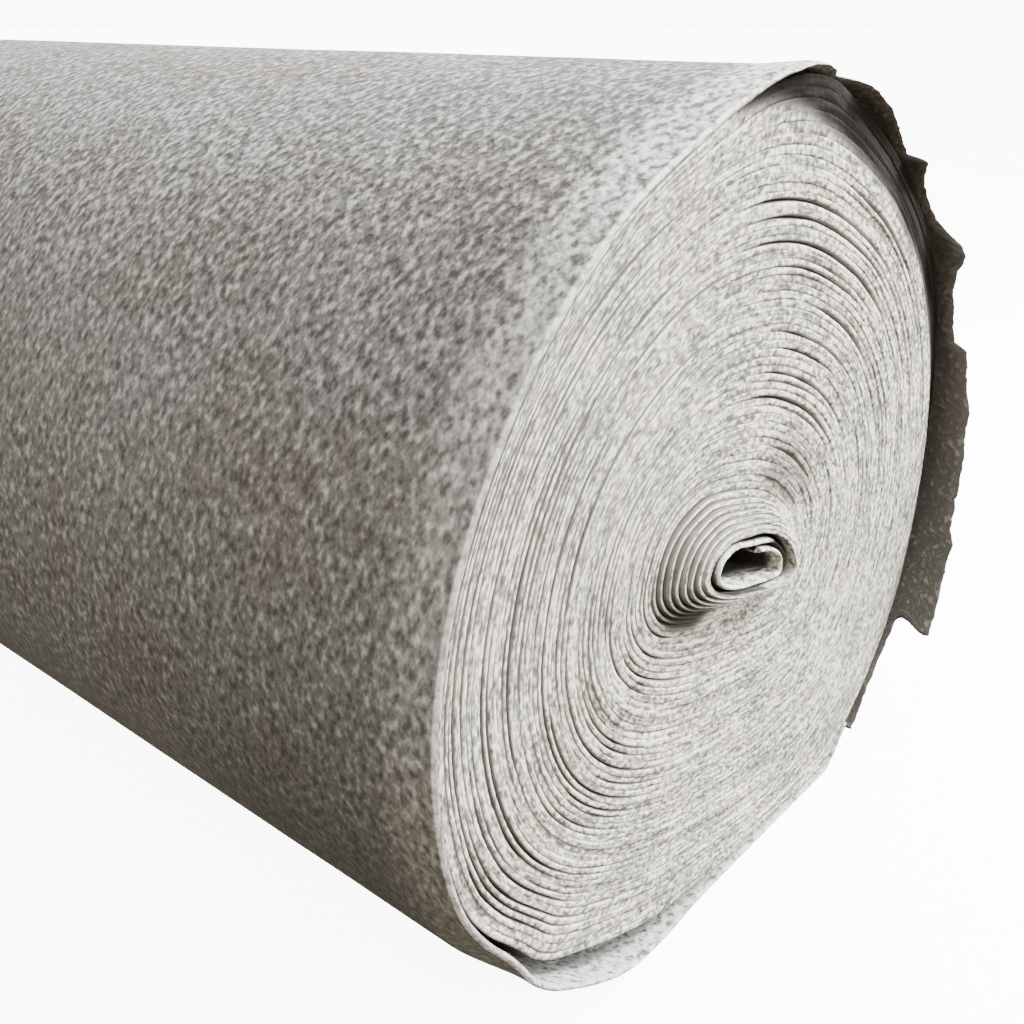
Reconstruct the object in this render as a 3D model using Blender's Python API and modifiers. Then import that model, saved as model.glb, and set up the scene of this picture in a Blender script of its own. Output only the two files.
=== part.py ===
# Roll of grey needled felt, the geotextile laid under paving and ponds, lying on its side.
#
# The cloth is wound on itself with no tube. Its own weight has pressed the underside flat, and the
# inner turns have crept out of the near face as a low stepped nose. The last part of the outer turn
# is loose: it lies over the back of the roll, and its torn selvedge stands past the face.
#
# Metres, +X along the roll towards the face with the nose, +Z up. Angles are in degrees round the
# roll, from the top towards +Y. The outer turn is measured once round, from where it comes out
# under the loose end to where that end stops, so its angles run on past 360.

import math

import bmesh
import bpy
from mathutils import Vector

# Driving sizes
CLOTH_WIDTH = 2.0  # the roll's length, from the far end to the near face
CLOTH = 0.0035  # thickness of the felt
AXIS_HEIGHT = 0.210  # from the flat underside up to the roll's middle line
SECTION_STEP = 4  # degrees between the points of a section
TEAR_STEP = 2  # degrees between the points of the torn edge

# The loose end lies over the roll between these angles
LOOSE_FROM = 336
LOOSE_TO = 500
TURN_FROM = LOOSE_TO - 360
STEP_WIDTH = 0.1  # degrees over which the roll steps down under the loose end
SEAM_WIDTH = 0.1  # degrees between that step and the loose end

# The outer turn's radius, as it sags: angle, radius
OUTLINE = (
    (140, 0.2402),
    (150, 0.2460),
    (165, 0.2320),
    (180, 0.2220),
    (194, 0.2200),
    (200, 0.2232),
    (207, 0.2290),
    (216, 0.2360),
    (225, 0.2425),
    (234, 0.2480),
    (243, 0.2505),
    (258, 0.2515),
    (275, 0.2515),
    (290, 0.2505),
    (304, 0.2485),
    (322, 0.2468),
    (338, 0.2455),
    (350, 0.2472),
    (368, 0.2492),
    (395, 0.2503),
    (430, 0.2505),
    (465, 0.2500),
    (485, 0.2480),
    (500, 0.2440),
)

# How far the outer turns' edges are drawn in towards the face, or flare out: angle, distance
DRAWN_IN = (
    (140, 0.0000),
    (214, 0.0010),
    (226, 0.0045),
    (236, 0.0070),
    (244, 0.0045),
    (254, 0.0010),
    (275, 0.0000),
    (300, 0.0012),
    (322, 0.0020),
    (338, 0.0040),
    (346, 0.0025),
    (355, -0.0010),
    (366, -0.0022),
    (382, -0.0008),
    (400, 0.0000),
    (500, 0.0000),
)
DRAWN_LENGTH = 0.032  # how far from the face this starts

# Room between the roll and its loose end: angle, room
SLACK = (
    (336, 0.0003),
    (346, 0.0008),
    (358, 0.0012),
    (368, 0.0022),
    (377, 0.0038),
    (386, 0.0046),
    (396, 0.0034),
    (410, 0.0030),
    (430, 0.0030),
    (450, 0.0030),
    (470, 0.0015),
    (485, 0.0008),
    (500, 0.0003),
)

# How far the roll's own outer turn stands past the face, or lies behind it: angle, reach
LIP = (
    (140, 0.0025),
    (165, 0.0030),
    (182, 0.0040),
    (196, 0.0055),
    (208, 0.0075),
    (218, 0.0085),
    (226, 0.0070),
    (235, 0.0030),
    (248, 0.0015),
    (336, 0.0012),
    (350, -0.0006),
    (362, -0.0015),
    (370, -0.0040),
    (377, -0.0080),
    (386, -0.0100),
    (394, -0.0103),
    (402, -0.0093),
    (410, -0.0067),
    (418, -0.0040),
    (448, -0.0037),
    (462, -0.0020),
    (475, 0.0000),
    (500, 0.0025),
)

# The outer turns that lie behind the face at the top of the back: angle, depth
HOLLOW = (
    (140, 0.0000),
    (336, 0.0000),
    (350, 0.0010),
    (362, 0.0020),
    (370, 0.0045),
    (377, 0.0085),
    (386, 0.0105),
    (394, 0.0108),
    (402, 0.0098),
    (410, 0.0072),
    (418, 0.0045),
    (448, 0.0042),
    (462, 0.0025),
    (475, 0.0010),
    (500, 0.0000),
)
HOLLOW_SHARES = (0.90, 0.96)  # shares of the way out between which the face falls away

# The open crevice inside the lip at the foot of the near side: angle, depth, width
CREVICE = (
    (140, 0.0010, 0.0004),
    (205, 0.0020, 0.0006),
    (217, 0.0080, 0.0030),
    (227, 0.0070, 0.0026),
    (236, 0.0015, 0.0006),
    (336, 0.0010, 0.0004),
    (500, 0.0010, 0.0004),
)

# The torn selvedge of the loose end, past the face: angle, reach
TEAR = (
    (336, 0.0010),
    (344, 0.0015),
    (350, 0.0025),
    (357, 0.0030),
    (361, 0.0010),
    (366, -0.0020),
    (370, -0.0060),
    (374, -0.0135),
    (376, -0.0075),
    (378, -0.0025),
    (381, -0.0021),
    (386, -0.0035),
    (390, -0.0059),
    (394, -0.0083),
    (397.5, -0.0096),
    (398.8, 0.0015),
    (401, -0.0008),
    (403, -0.0046),
    (406, -0.0054),
    (409, -0.0046),
    (412, -0.0010),
    (414, 0.0055),
    (416, 0.0115),
    (417.5, 0.0127),
    (419, 0.0108),
    (421, 0.0062),
    (425, 0.0038),
    (430, 0.0040),
    (433, 0.0052),
    (434.4, 0.0135),
    (441, 0.0158),
    (444.6, 0.0195),
    (446.5, 0.0183),
    (452, 0.0204),
    (460, 0.0210),
    (464, 0.0225),
    (466, 0.0265),
    (468, 0.0250),
    (475, 0.0275),
    (480, 0.0300),
    (482, 0.0040),
    (488, 0.0025),
    (500, 0.0030),
)

# The dog-eared corner where the loose end stops
EAR_ARC = 9  # degrees it takes up
EAR_LENGTH = 0.06  # along the roll
EAR_LIFT = 0.007

# The open middle, a flattened oval that leans down towards +Y
CORE_Y = -0.0275  # its middle, from the roll's middle line
CORE_Z = 0.0140
CORE_LONG = 0.0490  # half its long side
CORE_SHORT = 0.0156  # half its short side
CORE_TILT = 19

# How the open middle bulges past that oval or falls short of it: angle, share of the oval
BULGE = (
    (-20, 1.00),
    (0, 0.99),
    (20, 1.05),
    (42, 1.01),
    (70, 0.93),
    (96, 0.93),
    (120, 1.02),
    (142, 1.10),
    (165, 1.03),
    (190, 1.00),
    (215, 1.08),
    (238, 1.13),
    (260, 1.07),
    (285, 0.96),
    (315, 0.95),
    (340, 1.00),
    (360, 0.99),
    (380, 1.05),
)

# The nose of inner turns, in shares of the way out from the open middle
NOSE_HEIGHT = 0.014
NOSE_STEPS = 7
NOSE_TOP = 0.022
NOSE_FOOT = 0.145

# The curled inner end: angle, share of the way out to the wall of the open middle
CURL = (
    (6, 0.490),
    (30, 0.505),
    (56, 0.535),
    (84, 0.530),
    (110, 0.500),
    (132, 0.510),
    (152, 0.555),
    (178, 0.568),
    (202, 0.588),
    (222, 0.690),
    (244, 0.830),
    (270, 0.900),
    (300, 0.900),
    (330, 0.860),
    (360, 0.745),
    (390, 0.760),
    (420, 0.830),
    (450, 0.905),
    (475, 0.935),
    (500, 0.905),
    (525, 0.868),
    (548, 0.860),
    (566, 0.865),
)
CURL_STEP = 7
CURL_REACH = 0.0165  # past the near face
CURL_STATIONS = (-1.0, -0.1)  # between its far end and its near one

# Where the roll's sections and its face's rings lie
SIDE_STATIONS = (-1.6, -1.2, -0.8, -0.4, -0.12, -0.032, -0.02)
FAR_SHARES = (0.0, 0.33, 0.66, 0.94)
FACE_SHARES = (0.96, 0.93, 0.90, 0.75, 0.60, 0.45, 0.30)
LOOSE_STATIONS = (-1.5, -1.0, -0.5, -0.2, -0.06, -0.032, -0.02)


def straight(rows, position, column=1):
    """The value at a position along straight lines between a table's rows."""
    before = max((row for row in rows if row[0] <= position), default=rows[0], key=lambda row: row[0])
    after = min((row for row in rows if row[0] >= position), default=rows[-1], key=lambda row: row[0])
    if before[0] == after[0]:
        return before[column]
    part = (position - before[0]) / (after[0] - before[0])
    return before[column] + part * (after[column] - before[column])


def smooth(rows, position):
    """The value at a position along a smooth curve through a table's rows."""
    last = len(rows) - 1
    here = next((i for i in range(last) if position <= rows[i + 1][0]), last - 1)

    def slope(i):
        low, high = rows[max(i - 1, 0)], rows[min(i + 1, last)]
        return (high[1] - low[1]) / (high[0] - low[0])

    (x0, y0), (x1, y1) = rows[here], rows[here + 1]
    span = x1 - x0
    t = (position - x0) / span
    ease = t * t * (3 - 2 * t)
    return (
        (1 - ease) * y0
        + ease * y1
        + span * t * (1 - t) * ((1 - t) * slope(here) - t * slope(here + 1))
    )


def ramp(value, low, high):
    """0 below low, 1 above high, and a soft step between them."""
    t = min(max((value - low) / (high - low), 0.0), 1.0)
    return t * t * (3 - 2 * t)


def outline(angle, x):
    """Radius of the outer turn's outside at x. The floor cuts it off flat underneath."""
    drawn = smooth(DRAWN_IN, angle) * ramp(x, -DRAWN_LENGTH, 0.0)
    radius = smooth(OUTLINE, angle) - drawn
    fall = -math.cos(math.radians(angle))
    if fall > 0:
        radius = min(radius, AXIS_HEIGHT / fall)
    return radius


def roll_radius(angle, x):
    """Radius of the wound roll at x. It steps in where the loose end covers it."""
    if angle <= LOOSE_FROM:
        return outline(angle, x)
    return outline(angle, x) - CLOTH - smooth(SLACK, angle)


def around(radius, angle, x):
    turn = math.radians(angle)
    return Vector((x, radius * math.sin(turn), radius * math.cos(turn)))


def oval(share, angle, x):
    """A point of the open middle's wall, or of the same shape made smaller."""
    way = around(1.0, angle, 0.0)
    tilt = math.radians(CORE_TILT)
    long_side = Vector((0, math.cos(tilt), -math.sin(tilt)))
    short_side = Vector((0, math.sin(tilt), math.cos(tilt)))
    share *= smooth(BULGE, angle % 360)
    return (
        Vector((x, CORE_Y, CORE_Z))
        + long_side * (share * CORE_LONG * way.dot(long_side))
        + short_side * (share * CORE_SHORT * way.dot(short_side))
    )


def section(share, angle, x, inset=0.0):
    """A point of the roll's section, from the open middle at share 0 to the outside at share 1."""
    return oval(1.0, angle, x).lerp(around(roll_radius(angle, x) - inset, angle, x), share)


def face_ring(share, angle):
    hollow = smooth(HOLLOW, angle) * ramp(share, *HOLLOW_SHARES)
    return section(share, angle, -hollow)


def lip_ring(inset, angle):
    return section(1.0, angle, smooth(LIP, angle), inset)


def crevice_ring(angle):
    depth = straight(CREVICE, angle, 1) + smooth(HOLLOW, angle)
    return section(1.0, angle, -depth, CLOTH + straight(CREVICE, angle, 2))


def roll_rings():
    """The rings of the wound roll in order, each as a function of the angle.

    They start in the open middle at the far end, run out over the far face, along the side and in
    over the near face, climb the nose and come back to the first through the open middle.
    """
    rings = [lambda a, s=share: section(s, a, -CLOTH_WIDTH) for share in FAR_SHARES]
    rings.append(lambda a: section(1.0, a, -CLOTH_WIDTH))
    rings += [lambda a, x=x: section(1.0, a, x) for x in SIDE_STATIONS]
    rings.append(lambda a: lip_ring(0.0, a))
    rings.append(lambda a: lip_ring(CLOTH, a))
    rings.append(crevice_ring)
    rings += [lambda a, s=share: face_ring(s, a) for share in FACE_SHARES]
    for step in range(NOSE_STEPS):
        share = NOSE_FOOT + (NOSE_TOP - NOSE_FOOT) * step / (NOSE_STEPS - 1)
        for level in (step, step + 1):
            x = NOSE_HEIGHT * level / NOSE_STEPS
            rings.append(lambda a, s=share, x=x: section(s, a, x))
    rings.append(lambda a: section(0.0, a, NOSE_HEIGHT))
    rings.append(rings[0])
    return rings


def felt(name, colour):
    material = bpy.data.materials.new(name)
    material.use_nodes = True
    shader = material.node_tree.nodes["Principled BSDF"]
    shader.inputs["Base Color"].default_value = (*colour, 1.0)
    shader.inputs["Roughness"].default_value = 0.95
    shader.inputs["Metallic"].default_value = 0.0
    return material


def bent_grid(name, columns, rows, place, material, collection):
    """An object whose mesh is a grid with each point moved to place(column, row).

    Edges of the grid that meet are welded, so a grid bent right round closes on itself.
    """
    mesh = bpy.data.meshes.new(name)
    bm = bmesh.new()
    bmesh.ops.create_grid(bm, x_segments=columns, y_segments=rows, size=0.5)
    for vertex in bm.verts:
        column = round((vertex.co.x + 0.5) * columns)
        row = round((vertex.co.y + 0.5) * rows)
        vertex.co = place(column, row)
    bmesh.ops.remove_doubles(bm, verts=bm.verts, dist=1e-6)
    bmesh.ops.recalc_face_normals(bm, faces=bm.faces)
    bm.to_mesh(mesh)
    bm.free()
    mesh.shade_smooth()
    mesh.set_sharp_from_angle(angle=math.radians(35))
    mesh.materials.append(material)
    piece = bpy.data.objects.new(name, mesh)
    collection.objects.link(piece)
    return piece


def thicken(sheet):
    solidify = sheet.modifiers.new("Cloth thickness", "SOLIDIFY")
    solidify.thickness = CLOTH
    solidify.offset = 0.0


def make_wound_roll(collection):
    angles = list(range(TURN_FROM, LOOSE_FROM + 1, SECTION_STEP))
    angles += [LOOSE_FROM + STEP_WIDTH]
    angles += list(range(LOOSE_FROM + SECTION_STEP, LOOSE_TO, SECTION_STEP))
    rings = roll_rings()

    def place(column, row):
        return rings[row](angles[column % len(angles)])

    colour = (0.40, 0.39, 0.37)
    material = felt("felt_face", colour)
    return bent_grid("wound_roll", len(angles), len(rings) - 1, place, material, collection)


def make_loose_end(collection):
    start = LOOSE_FROM + STEP_WIDTH + SEAM_WIDTH
    angles = [start] + list(range(LOOSE_FROM + TEAR_STEP, LOOSE_TO + 1, TEAR_STEP))
    stations = (-CLOTH_WIDTH,) + LOOSE_STATIONS

    def place(column, row):
        angle = angles[column]
        x = stations[row] if row < len(stations) else straight(TEAR, angle)
        ear = ramp(angle, LOOSE_TO - EAR_ARC, LOOSE_TO) * ramp(x, -EAR_LENGTH, 0.0)
        return around(outline(angle, x) - CLOTH / 2 + EAR_LIFT * ear, angle, x)

    colour = (0.24, 0.23, 0.22)
    material = felt("felt_side", colour)
    sheet = bent_grid("loose_end", len(angles) - 1, len(stations), place, material, collection)
    thicken(sheet)
    return sheet


def make_inner_end(collection):
    first, last = CURL[0][0], CURL[-1][0]
    columns = round((last - first) / CURL_STEP)
    stations = (-CLOTH_WIDTH,) + CURL_STATIONS + (CURL_REACH,)

    def place(column, row):
        angle = first + (last - first) * column / columns
        return oval(smooth(CURL, angle), angle, stations[row])

    colour = (0.48, 0.47, 0.45)
    material = felt("felt_inner", colour)
    sheet = bent_grid("inner_end", columns, len(stations) - 1, place, material, collection)
    thicken(sheet)
    return sheet


def stand_on_origin(pieces):
    """Moves the pieces so that the middle of their box's underside is at the origin."""
    bpy.context.view_layer.update()
    graph = bpy.context.evaluated_depsgraph_get()
    corners = []
    for piece in pieces:
        shown = piece.evaluated_get(graph)
        mesh = shown.to_mesh()
        corners += [vertex.co.copy() for vertex in mesh.vertices]
        shown.to_mesh_clear()
    low = Vector([min(corner[i] for corner in corners) for i in range(3)])
    high = Vector([max(corner[i] for corner in corners) for i in range(3)])
    middle = (low + high) / 2
    for piece in pieces:
        piece.location = (-middle.x, -middle.y, -low.z)


def main():
    for old in list(bpy.data.objects):
        bpy.data.objects.remove(old)
    collection = bpy.data.collections.new("felt_roll")
    bpy.context.scene.collection.children.link(collection)
    pieces = [
        make_wound_roll(collection),
        make_loose_end(collection),
        make_inner_end(collection),
    ]
    stand_on_origin(pieces)


main()
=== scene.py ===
# Roll of grey needled felt lying on its side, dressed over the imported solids.
# Metres and degrees. Angles go round the roll from the top towards +Y. The outer turn is measured
# once round, from where it comes out under the loose end to where that end stops, so they pass 360.

import math

import bmesh
import bpy
from mathutils import Euler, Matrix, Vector, noise


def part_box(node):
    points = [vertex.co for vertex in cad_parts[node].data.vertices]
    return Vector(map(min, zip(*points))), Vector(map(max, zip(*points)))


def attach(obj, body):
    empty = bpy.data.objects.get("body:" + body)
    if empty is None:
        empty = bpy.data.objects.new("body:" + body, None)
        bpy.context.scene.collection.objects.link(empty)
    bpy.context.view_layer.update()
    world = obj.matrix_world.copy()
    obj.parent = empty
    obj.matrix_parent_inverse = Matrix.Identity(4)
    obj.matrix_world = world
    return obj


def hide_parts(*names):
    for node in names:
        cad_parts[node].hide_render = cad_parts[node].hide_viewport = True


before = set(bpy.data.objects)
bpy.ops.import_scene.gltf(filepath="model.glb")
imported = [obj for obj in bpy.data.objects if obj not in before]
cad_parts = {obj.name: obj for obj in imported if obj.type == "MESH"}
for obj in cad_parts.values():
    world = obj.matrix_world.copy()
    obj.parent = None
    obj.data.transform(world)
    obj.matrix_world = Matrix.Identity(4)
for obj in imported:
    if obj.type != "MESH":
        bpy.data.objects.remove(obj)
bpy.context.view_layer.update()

roll = {
    "radius": 0.25,        # of the circle that the camera is placed by
    "width": 2.0,          # of the cloth, which is the roll's length
    "cloth": 0.0035,       # the felt's thickness
    "clearance": 0.0003,   # between neighbouring turns
    "axisHeight": 0.210,   # from the floor to the roll's middle line
    "nearReach": 0.25135,  # from the middle line out to the -Y side
    "turns": 56,
    "outerFrom": 140,      # where the outer turn starts and ends
    "looseFrom": 336,      # from here on it lies loose over the roll
    "outerTo": 500,
    "drawnLength": 0.032,  # how far behind the face the outer turns are drawn in
    "footLength": 0.055,   # how far behind the face there is room at its foot
}
turnPitch = roll["cloth"] + roll["clearance"]

# The outer turn's radius: angle, radius
outlineRows = (
    (140, 0.2402), (150, 0.2460), (165, 0.2320), (180, 0.2220), (194, 0.2200), (200, 0.2232),
    (207, 0.2290), (216, 0.2360), (225, 0.2425), (234, 0.2480), (243, 0.2505), (258, 0.2515),
    (275, 0.2515), (290, 0.2505), (304, 0.2485), (322, 0.2468), (338, 0.2455), (350, 0.2472),
    (368, 0.2492), (395, 0.2503), (430, 0.2505), (465, 0.2500), (485, 0.2480), (500, 0.2440),
)
# How far the outer turns are drawn in towards the face: angle, distance
drawnRows = (
    (140, 0.0000), (206, 0.0010), (214, 0.0026), (222, 0.0034), (228, 0.0024), (232, 0.0036),
    (236, 0.0068), (240, 0.0074), (245, 0.0048), (253, 0.0010), (275, 0.0000), (300, 0.0012),
    (322, 0.0020), (338, 0.0040), (346, 0.0025), (355, -0.0010), (366, -0.0022), (382, -0.0008),
    (400, 0.0000), (500, 0.0000),
)
# Room under the loose end: angle, room
slackRows = (
    (336, 0.0003), (346, 0.0008), (358, 0.0012), (368, 0.0022), (377, 0.0038), (386, 0.0046),
    (396, 0.0034), (410, 0.0030), (430, 0.0030), (450, 0.0030), (470, 0.0015), (485, 0.0008),
    (500, 0.0003),
)
# Room between the turns and the outer turn at the foot of the near face: angle, room
footRows = (
    (140, 0.0), (160, 0.0003), (170, 0.0015), (180, 0.0045), (190, 0.0090), (200, 0.0132),
    (209, 0.0150), (218, 0.0136), (227, 0.0094), (235, 0.0046), (243, 0.0012), (252, 0.0),
    (500, 0.0),
)

rollLow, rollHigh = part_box("wound_roll")
facePlace = Vector((
    rollLow.x + roll["width"],
    rollLow.y + roll["nearReach"],
    roll["axisHeight"],
))


def limit(value):
    return min(max(value, 0.0), 1.0)


def ramp(value, low, high):
    # 0 at low and 1 at high, with soft ends
    t = limit((value - low) / (high - low))
    return t * t * (3 - 2 * t)


def findRow(rows, position):
    here = 0
    while here < len(rows) - 2 and position > rows[here + 1][0]:
        here += 1
    return here


def curve(rows, position):
    # a smooth curve through the rows of a table
    last = len(rows) - 1
    here = findRow(rows, position)

    def slope(i):
        low, high = rows[max(i - 1, 0)], rows[min(i + 1, last)]
        return (high[1] - low[1]) / (high[0] - low[0])

    (x0, y0), (x1, y1) = rows[here], rows[here + 1]
    span = x1 - x0
    t = limit((position - x0) / span)
    ease = t * t * (3 - 2 * t)
    bend = span * t * (1 - t) * ((1 - t) * slope(here) - t * slope(here + 1))
    return (1 - ease) * y0 + ease * y1 + bend


def straight(rows, position):
    # straight lines from row to row, so that corners stay sharp
    here = findRow(rows, position)
    (x0, y0), (x1, y1) = rows[here], rows[here + 1]
    return y0 + limit((position - x0) / (x1 - x0)) * (y1 - y0)


def compass(angle):
    turn = math.radians(angle)
    return math.cos(turn), math.sin(turn)


def rough(angle, along, size, seed):
    # soft noise on the roll's skin, from -1 to 1, with bumps of about this size
    c, s = compass(angle)
    reach = roll["radius"] / size
    return noise.noise(Vector((along / size + seed, reach * c, reach * s)))


def ringNoise(angle, bumps, shift, along):
    # soft noise round the roll, from -1 to 1
    c, s = compass(angle)
    return noise.noise(Vector((bumps * c + shift[0], bumps * s + shift[1], along)))


def around(radius, angle, x):
    c, s = compass(angle)
    return Vector((x, radius * s, radius * c))


def outline(angle, x):
    # the outer turn's outside, pressed flat by the floor
    drawn = curve(drawnRows, angle) * ramp(x, -roll["drawnLength"], 0.0)
    radius = curve(outlineRows, angle) - drawn
    fall = -compass(angle)[0]
    return min(radius, roll["axisHeight"] / fall) if fall > 0 else radius


def underTurn(angle, x):
    # the outside of what the outer turn covers
    slack = curve(slackRows, angle) if angle > roll["looseFrom"] else roll["clearance"]
    return outline(angle, x) - roll["cloth"] - slack


core = {
    "y": -0.0275, "z": 0.0140,   # the open middle's centre, from the roll's middle line
    "long": 0.0490, "short": 0.0156, "tilt": 19,
}
coreLean = compass(core["tilt"])
coreLong = Vector((0, coreLean[0], -coreLean[1]))
coreShort = Vector((0, coreLean[1], coreLean[0]))
# How the open middle departs from that oval: angle, share of the oval
bulgeRows = (
    (-20, 1.00), (0, 0.99), (20, 1.05), (42, 1.01), (70, 0.93), (96, 0.93), (120, 1.02),
    (142, 1.10), (165, 1.03), (190, 1.00), (215, 1.08), (238, 1.13), (260, 1.07), (285, 0.96),
    (315, 0.95), (340, 1.00), (360, 0.99), (380, 1.05),
)


def oval(share, angle, x):
    way = around(1.0, angle, 0.0)
    share *= curve(bulgeRows, angle % 360)
    return (
        Vector((x, core["y"], core["z"]))
        + coreLong * (share * core["long"] * way.dot(coreLong))
        + coreShort * (share * core["short"] * way.dot(coreShort))
    )


weldDistance = 2e-6


def bentGrid(name, columns, rows, place, material):
    # a grid whose points are moved to place(column, row). That gives a point, its place on the
    # cloth, and three marks for the material
    bm = bmesh.new()
    bmesh.ops.create_grid(bm, x_segments=columns, y_segments=rows, size=0.5)
    weave = bm.verts.layers.float_vector.new("weave")
    marks = bm.verts.layers.float_vector.new("marks")
    for vertex in bm.verts:
        column = round((vertex.co.x + 0.5) * columns)
        row = round((vertex.co.y + 0.5) * rows)
        point, woven, marked = place(column, row)
        vertex.co = point + facePlace
        vertex[weave] = Vector((*woven, 0.0))
        vertex[marks] = Vector(marked)
    bmesh.ops.remove_doubles(bm, verts=bm.verts, dist=weldDistance)
    bmesh.ops.recalc_face_normals(bm, faces=bm.faces)
    openLength = sum(edge.calc_length() for edge in bm.edges if len(edge.link_faces) == 1)
    mesh = bpy.data.meshes.new(name)
    bm.to_mesh(mesh)
    bm.free()
    mesh.shade_smooth()
    mesh.materials.append(material)
    piece = bpy.data.objects.new(name, mesh)
    bpy.context.collection.objects.link(piece)
    print(name, len(mesh.polygons), "faces,", round(openLength, 3), "m of open edge")
    return piece


class Wire:
    # a shader value that can be added, subtracted and multiplied

    def __init__(self, shop, socket):
        self.shop, self.socket = shop, socket

    def __add__(self, other):
        return self.shop.maths("ADD", self, other)

    def __sub__(self, other):
        return self.shop.maths("SUBTRACT", self, other)

    def __rsub__(self, other):
        return self.shop.maths("SUBTRACT", other, self)

    def __mul__(self, other):
        return self.shop.maths("MULTIPLY", self, other)

    __radd__ = __add__
    __rmul__ = __mul__


class Shop:
    # makes the nodes of one material, or of the world's light

    def __init__(self, owner):
        owner.use_nodes = True
        self.owner = owner
        self.tree = owner.node_tree

    def plug(self, socket, value):
        # a wire is linked, and anything else is set on the socket itself
        if isinstance(value, Wire):
            self.tree.links.new(value.socket, socket)
        else:
            socket.default_value = value

    def node(self, kind, settings=None, values=None, output=0):
        made = self.tree.nodes.new(kind)
        for key, value in (settings or {}).items():
            setattr(made, key, value)
        for key, value in (values or {}).items():
            self.plug(made.inputs[key], value)
        return Wire(self, made.outputs[output])

    def maths(self, operation, first, second=0.0):
        return self.node("ShaderNodeMath", {"operation": operation}, {0: first, 1: second})

    def step(self, value, low, high):
        # 0 at low and 1 at high, with soft ends
        values = {"Value": value, "From Min": low, "From Max": high}
        return self.node("ShaderNodeMapRange", {"interpolation_type": "SMOOTHSTEP"}, values)

    def noise(self, vector, scale, detail, roughness=0.5, output=0):
        values = {"Vector": vector, "Scale": scale, "Detail": detail, "Roughness": roughness}
        return self.node("ShaderNodeTexNoise", {}, values, output)

    def mix(self, factor, first, second):
        # a colour is three numbers or a wire
        first, second = (
            colour if isinstance(colour, Wire) else (*colour, 1) for colour in (first, second)
        )
        return self.node("ShaderNodeMix", {"data_type": "RGBA"}, {0: factor, 6: first, 7: second}, 2)

    def attribute(self, name):
        return self.node("ShaderNodeAttribute", {"attribute_name": name}, {}, "Vector")

    def split(self, vector):
        made = self.node("ShaderNodeSeparateXYZ", {}, {0: vector}).socket.node
        return [Wire(self, socket) for socket in made.outputs]

    def blend(self, parts, amounts):
        # adds up noises about their middle, each by its amount
        first, *others = [(part - 0.5) * amount for part, amount in zip(parts, amounts)]
        return sum(others, first)

    def streaks(self, vector, turn, length, width, offset, detail):
        # soft noise drawn out to this length and width, lying at this angle
        values = {
            "Vector": vector,
            "Location": (offset, offset * 0.7, 0.0),
            "Rotation": (0.0, 0.0, math.radians(turn)),
            "Scale": (length, width, width),
        }
        placed = self.node("ShaderNodeMapping", {"vector_type": "TEXTURE"}, values)
        return self.noise(placed, 1.0, detail)

    def fibres(self, vector, turn, length, width, offset, thickness):
        # fine threads along the middle of soft streaks
        off = self.streaks(vector, turn, length, width, offset, 1.0) - 0.5
        return self.step(self.maths("ABSOLUTE", off), thickness, 0.0)

    def surface(self, values):
        shader = self.tree.nodes["Principled BSDF"]
        for name, value in values.items():
            self.plug(shader.inputs[name], value)
        return self.owner

    def felt(self, colour, height, finish):
        values = {"Strength": 1.0, "Distance": finish["bump"], "Height": height}
        return self.surface({
            "Base Color": colour,
            "Normal": self.node("ShaderNodeBump", {}, values),
            "Roughness": finish["roughness"],
            "Specular IOR Level": finish["gloss"],
            "Sheen Weight": finish["sheen"],
            "Sheen Roughness": finish["sheenRoughness"],
        })


sideFelt = {
    "dark": (0.077, 0.072, 0.067),
    "mid": (0.188, 0.181, 0.173),
    "light": (0.50, 0.485, 0.46),
    "blue": (0.185, 0.183, 0.182),
    "brown": (0.186, 0.164, 0.145),
    "pale": (0.37, 0.362, 0.342),       # the border by the lip
    "paleDark": (0.160, 0.154, 0.145),
    "paleLight": (0.80, 0.785, 0.75),
    "palest": (0.55, 0.54, 0.515),      # its upper part, paler as painted light
    "rim": (0.93, 0.915, 0.87),
    "underTop": (0.155, 0.140, 0.120),  # painted shade on the loose end's inner side, from above down
    "under": (0.048, 0.042, 0.034),
    # patterns: angle, length, width, offset, detail
    "strokes": (22, 0.0070, 0.0040, 0.0, 1.8),
    "crossing": (-24, 0.0064, 0.0038, 4.0, 1.8),
    # threads: angle, length, width, offset, thickness
    "threads": (
        (16, 0.0095, 0.0034, 0.3, 0.075),
        (-14, 0.0085, 0.0032, 1.7, 0.075),
        (24, 0.0100, 0.0038, 5.3, 0.075),
    ),
    "speckScale": 270.0, "patchScale": 60.0, "cloudScale": 12.0,
    "curlScale": 130.0, "curl": (0.005, 0.005, 0.0),
    "grain": (5.4, 3.8, 3.2, 1.8, 1.0),  # of the strokes, crossing, specks, patches and clouds
    # stretches round the roll in which something fades in, in metres along the cloth
    "low": (0.56, 0.40),                 # towards the floor at the front, painted darker and flatter as shade
    # painted light on the top, paler and with more contrast
    "high": (0.62, 0.80), "highEnd": (1.10, 0.95),
    "foot": (0.43, 0.37),                # where the inner side shows at the foot, painted paler as light
    "underFall": (1.15, 1.42),
    "coveredFrom": (0.385, 0.42),
    # distances from the lip over which something fades
    # painted shade in a band behind the lip
    "dusk": (0.030, 0.060), "duskEnd": (0.24, 0.12),
    "border": (0.036, 0.016),
    "footBorder": (0.030, 0.012),
    "rimWidth": (0.0017, 0.0006), "tornRim": 0.0010,
    "covered": (0.0008, 0.0022),
    "ragged": (0.045, 0.012),            # of the border's edge, by patches and clouds
    "bump": 0.00014, "roughness": 0.95, "gloss": 0.10, "sheen": 0.10, "sheenRoughness": 0.5,
}


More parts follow.
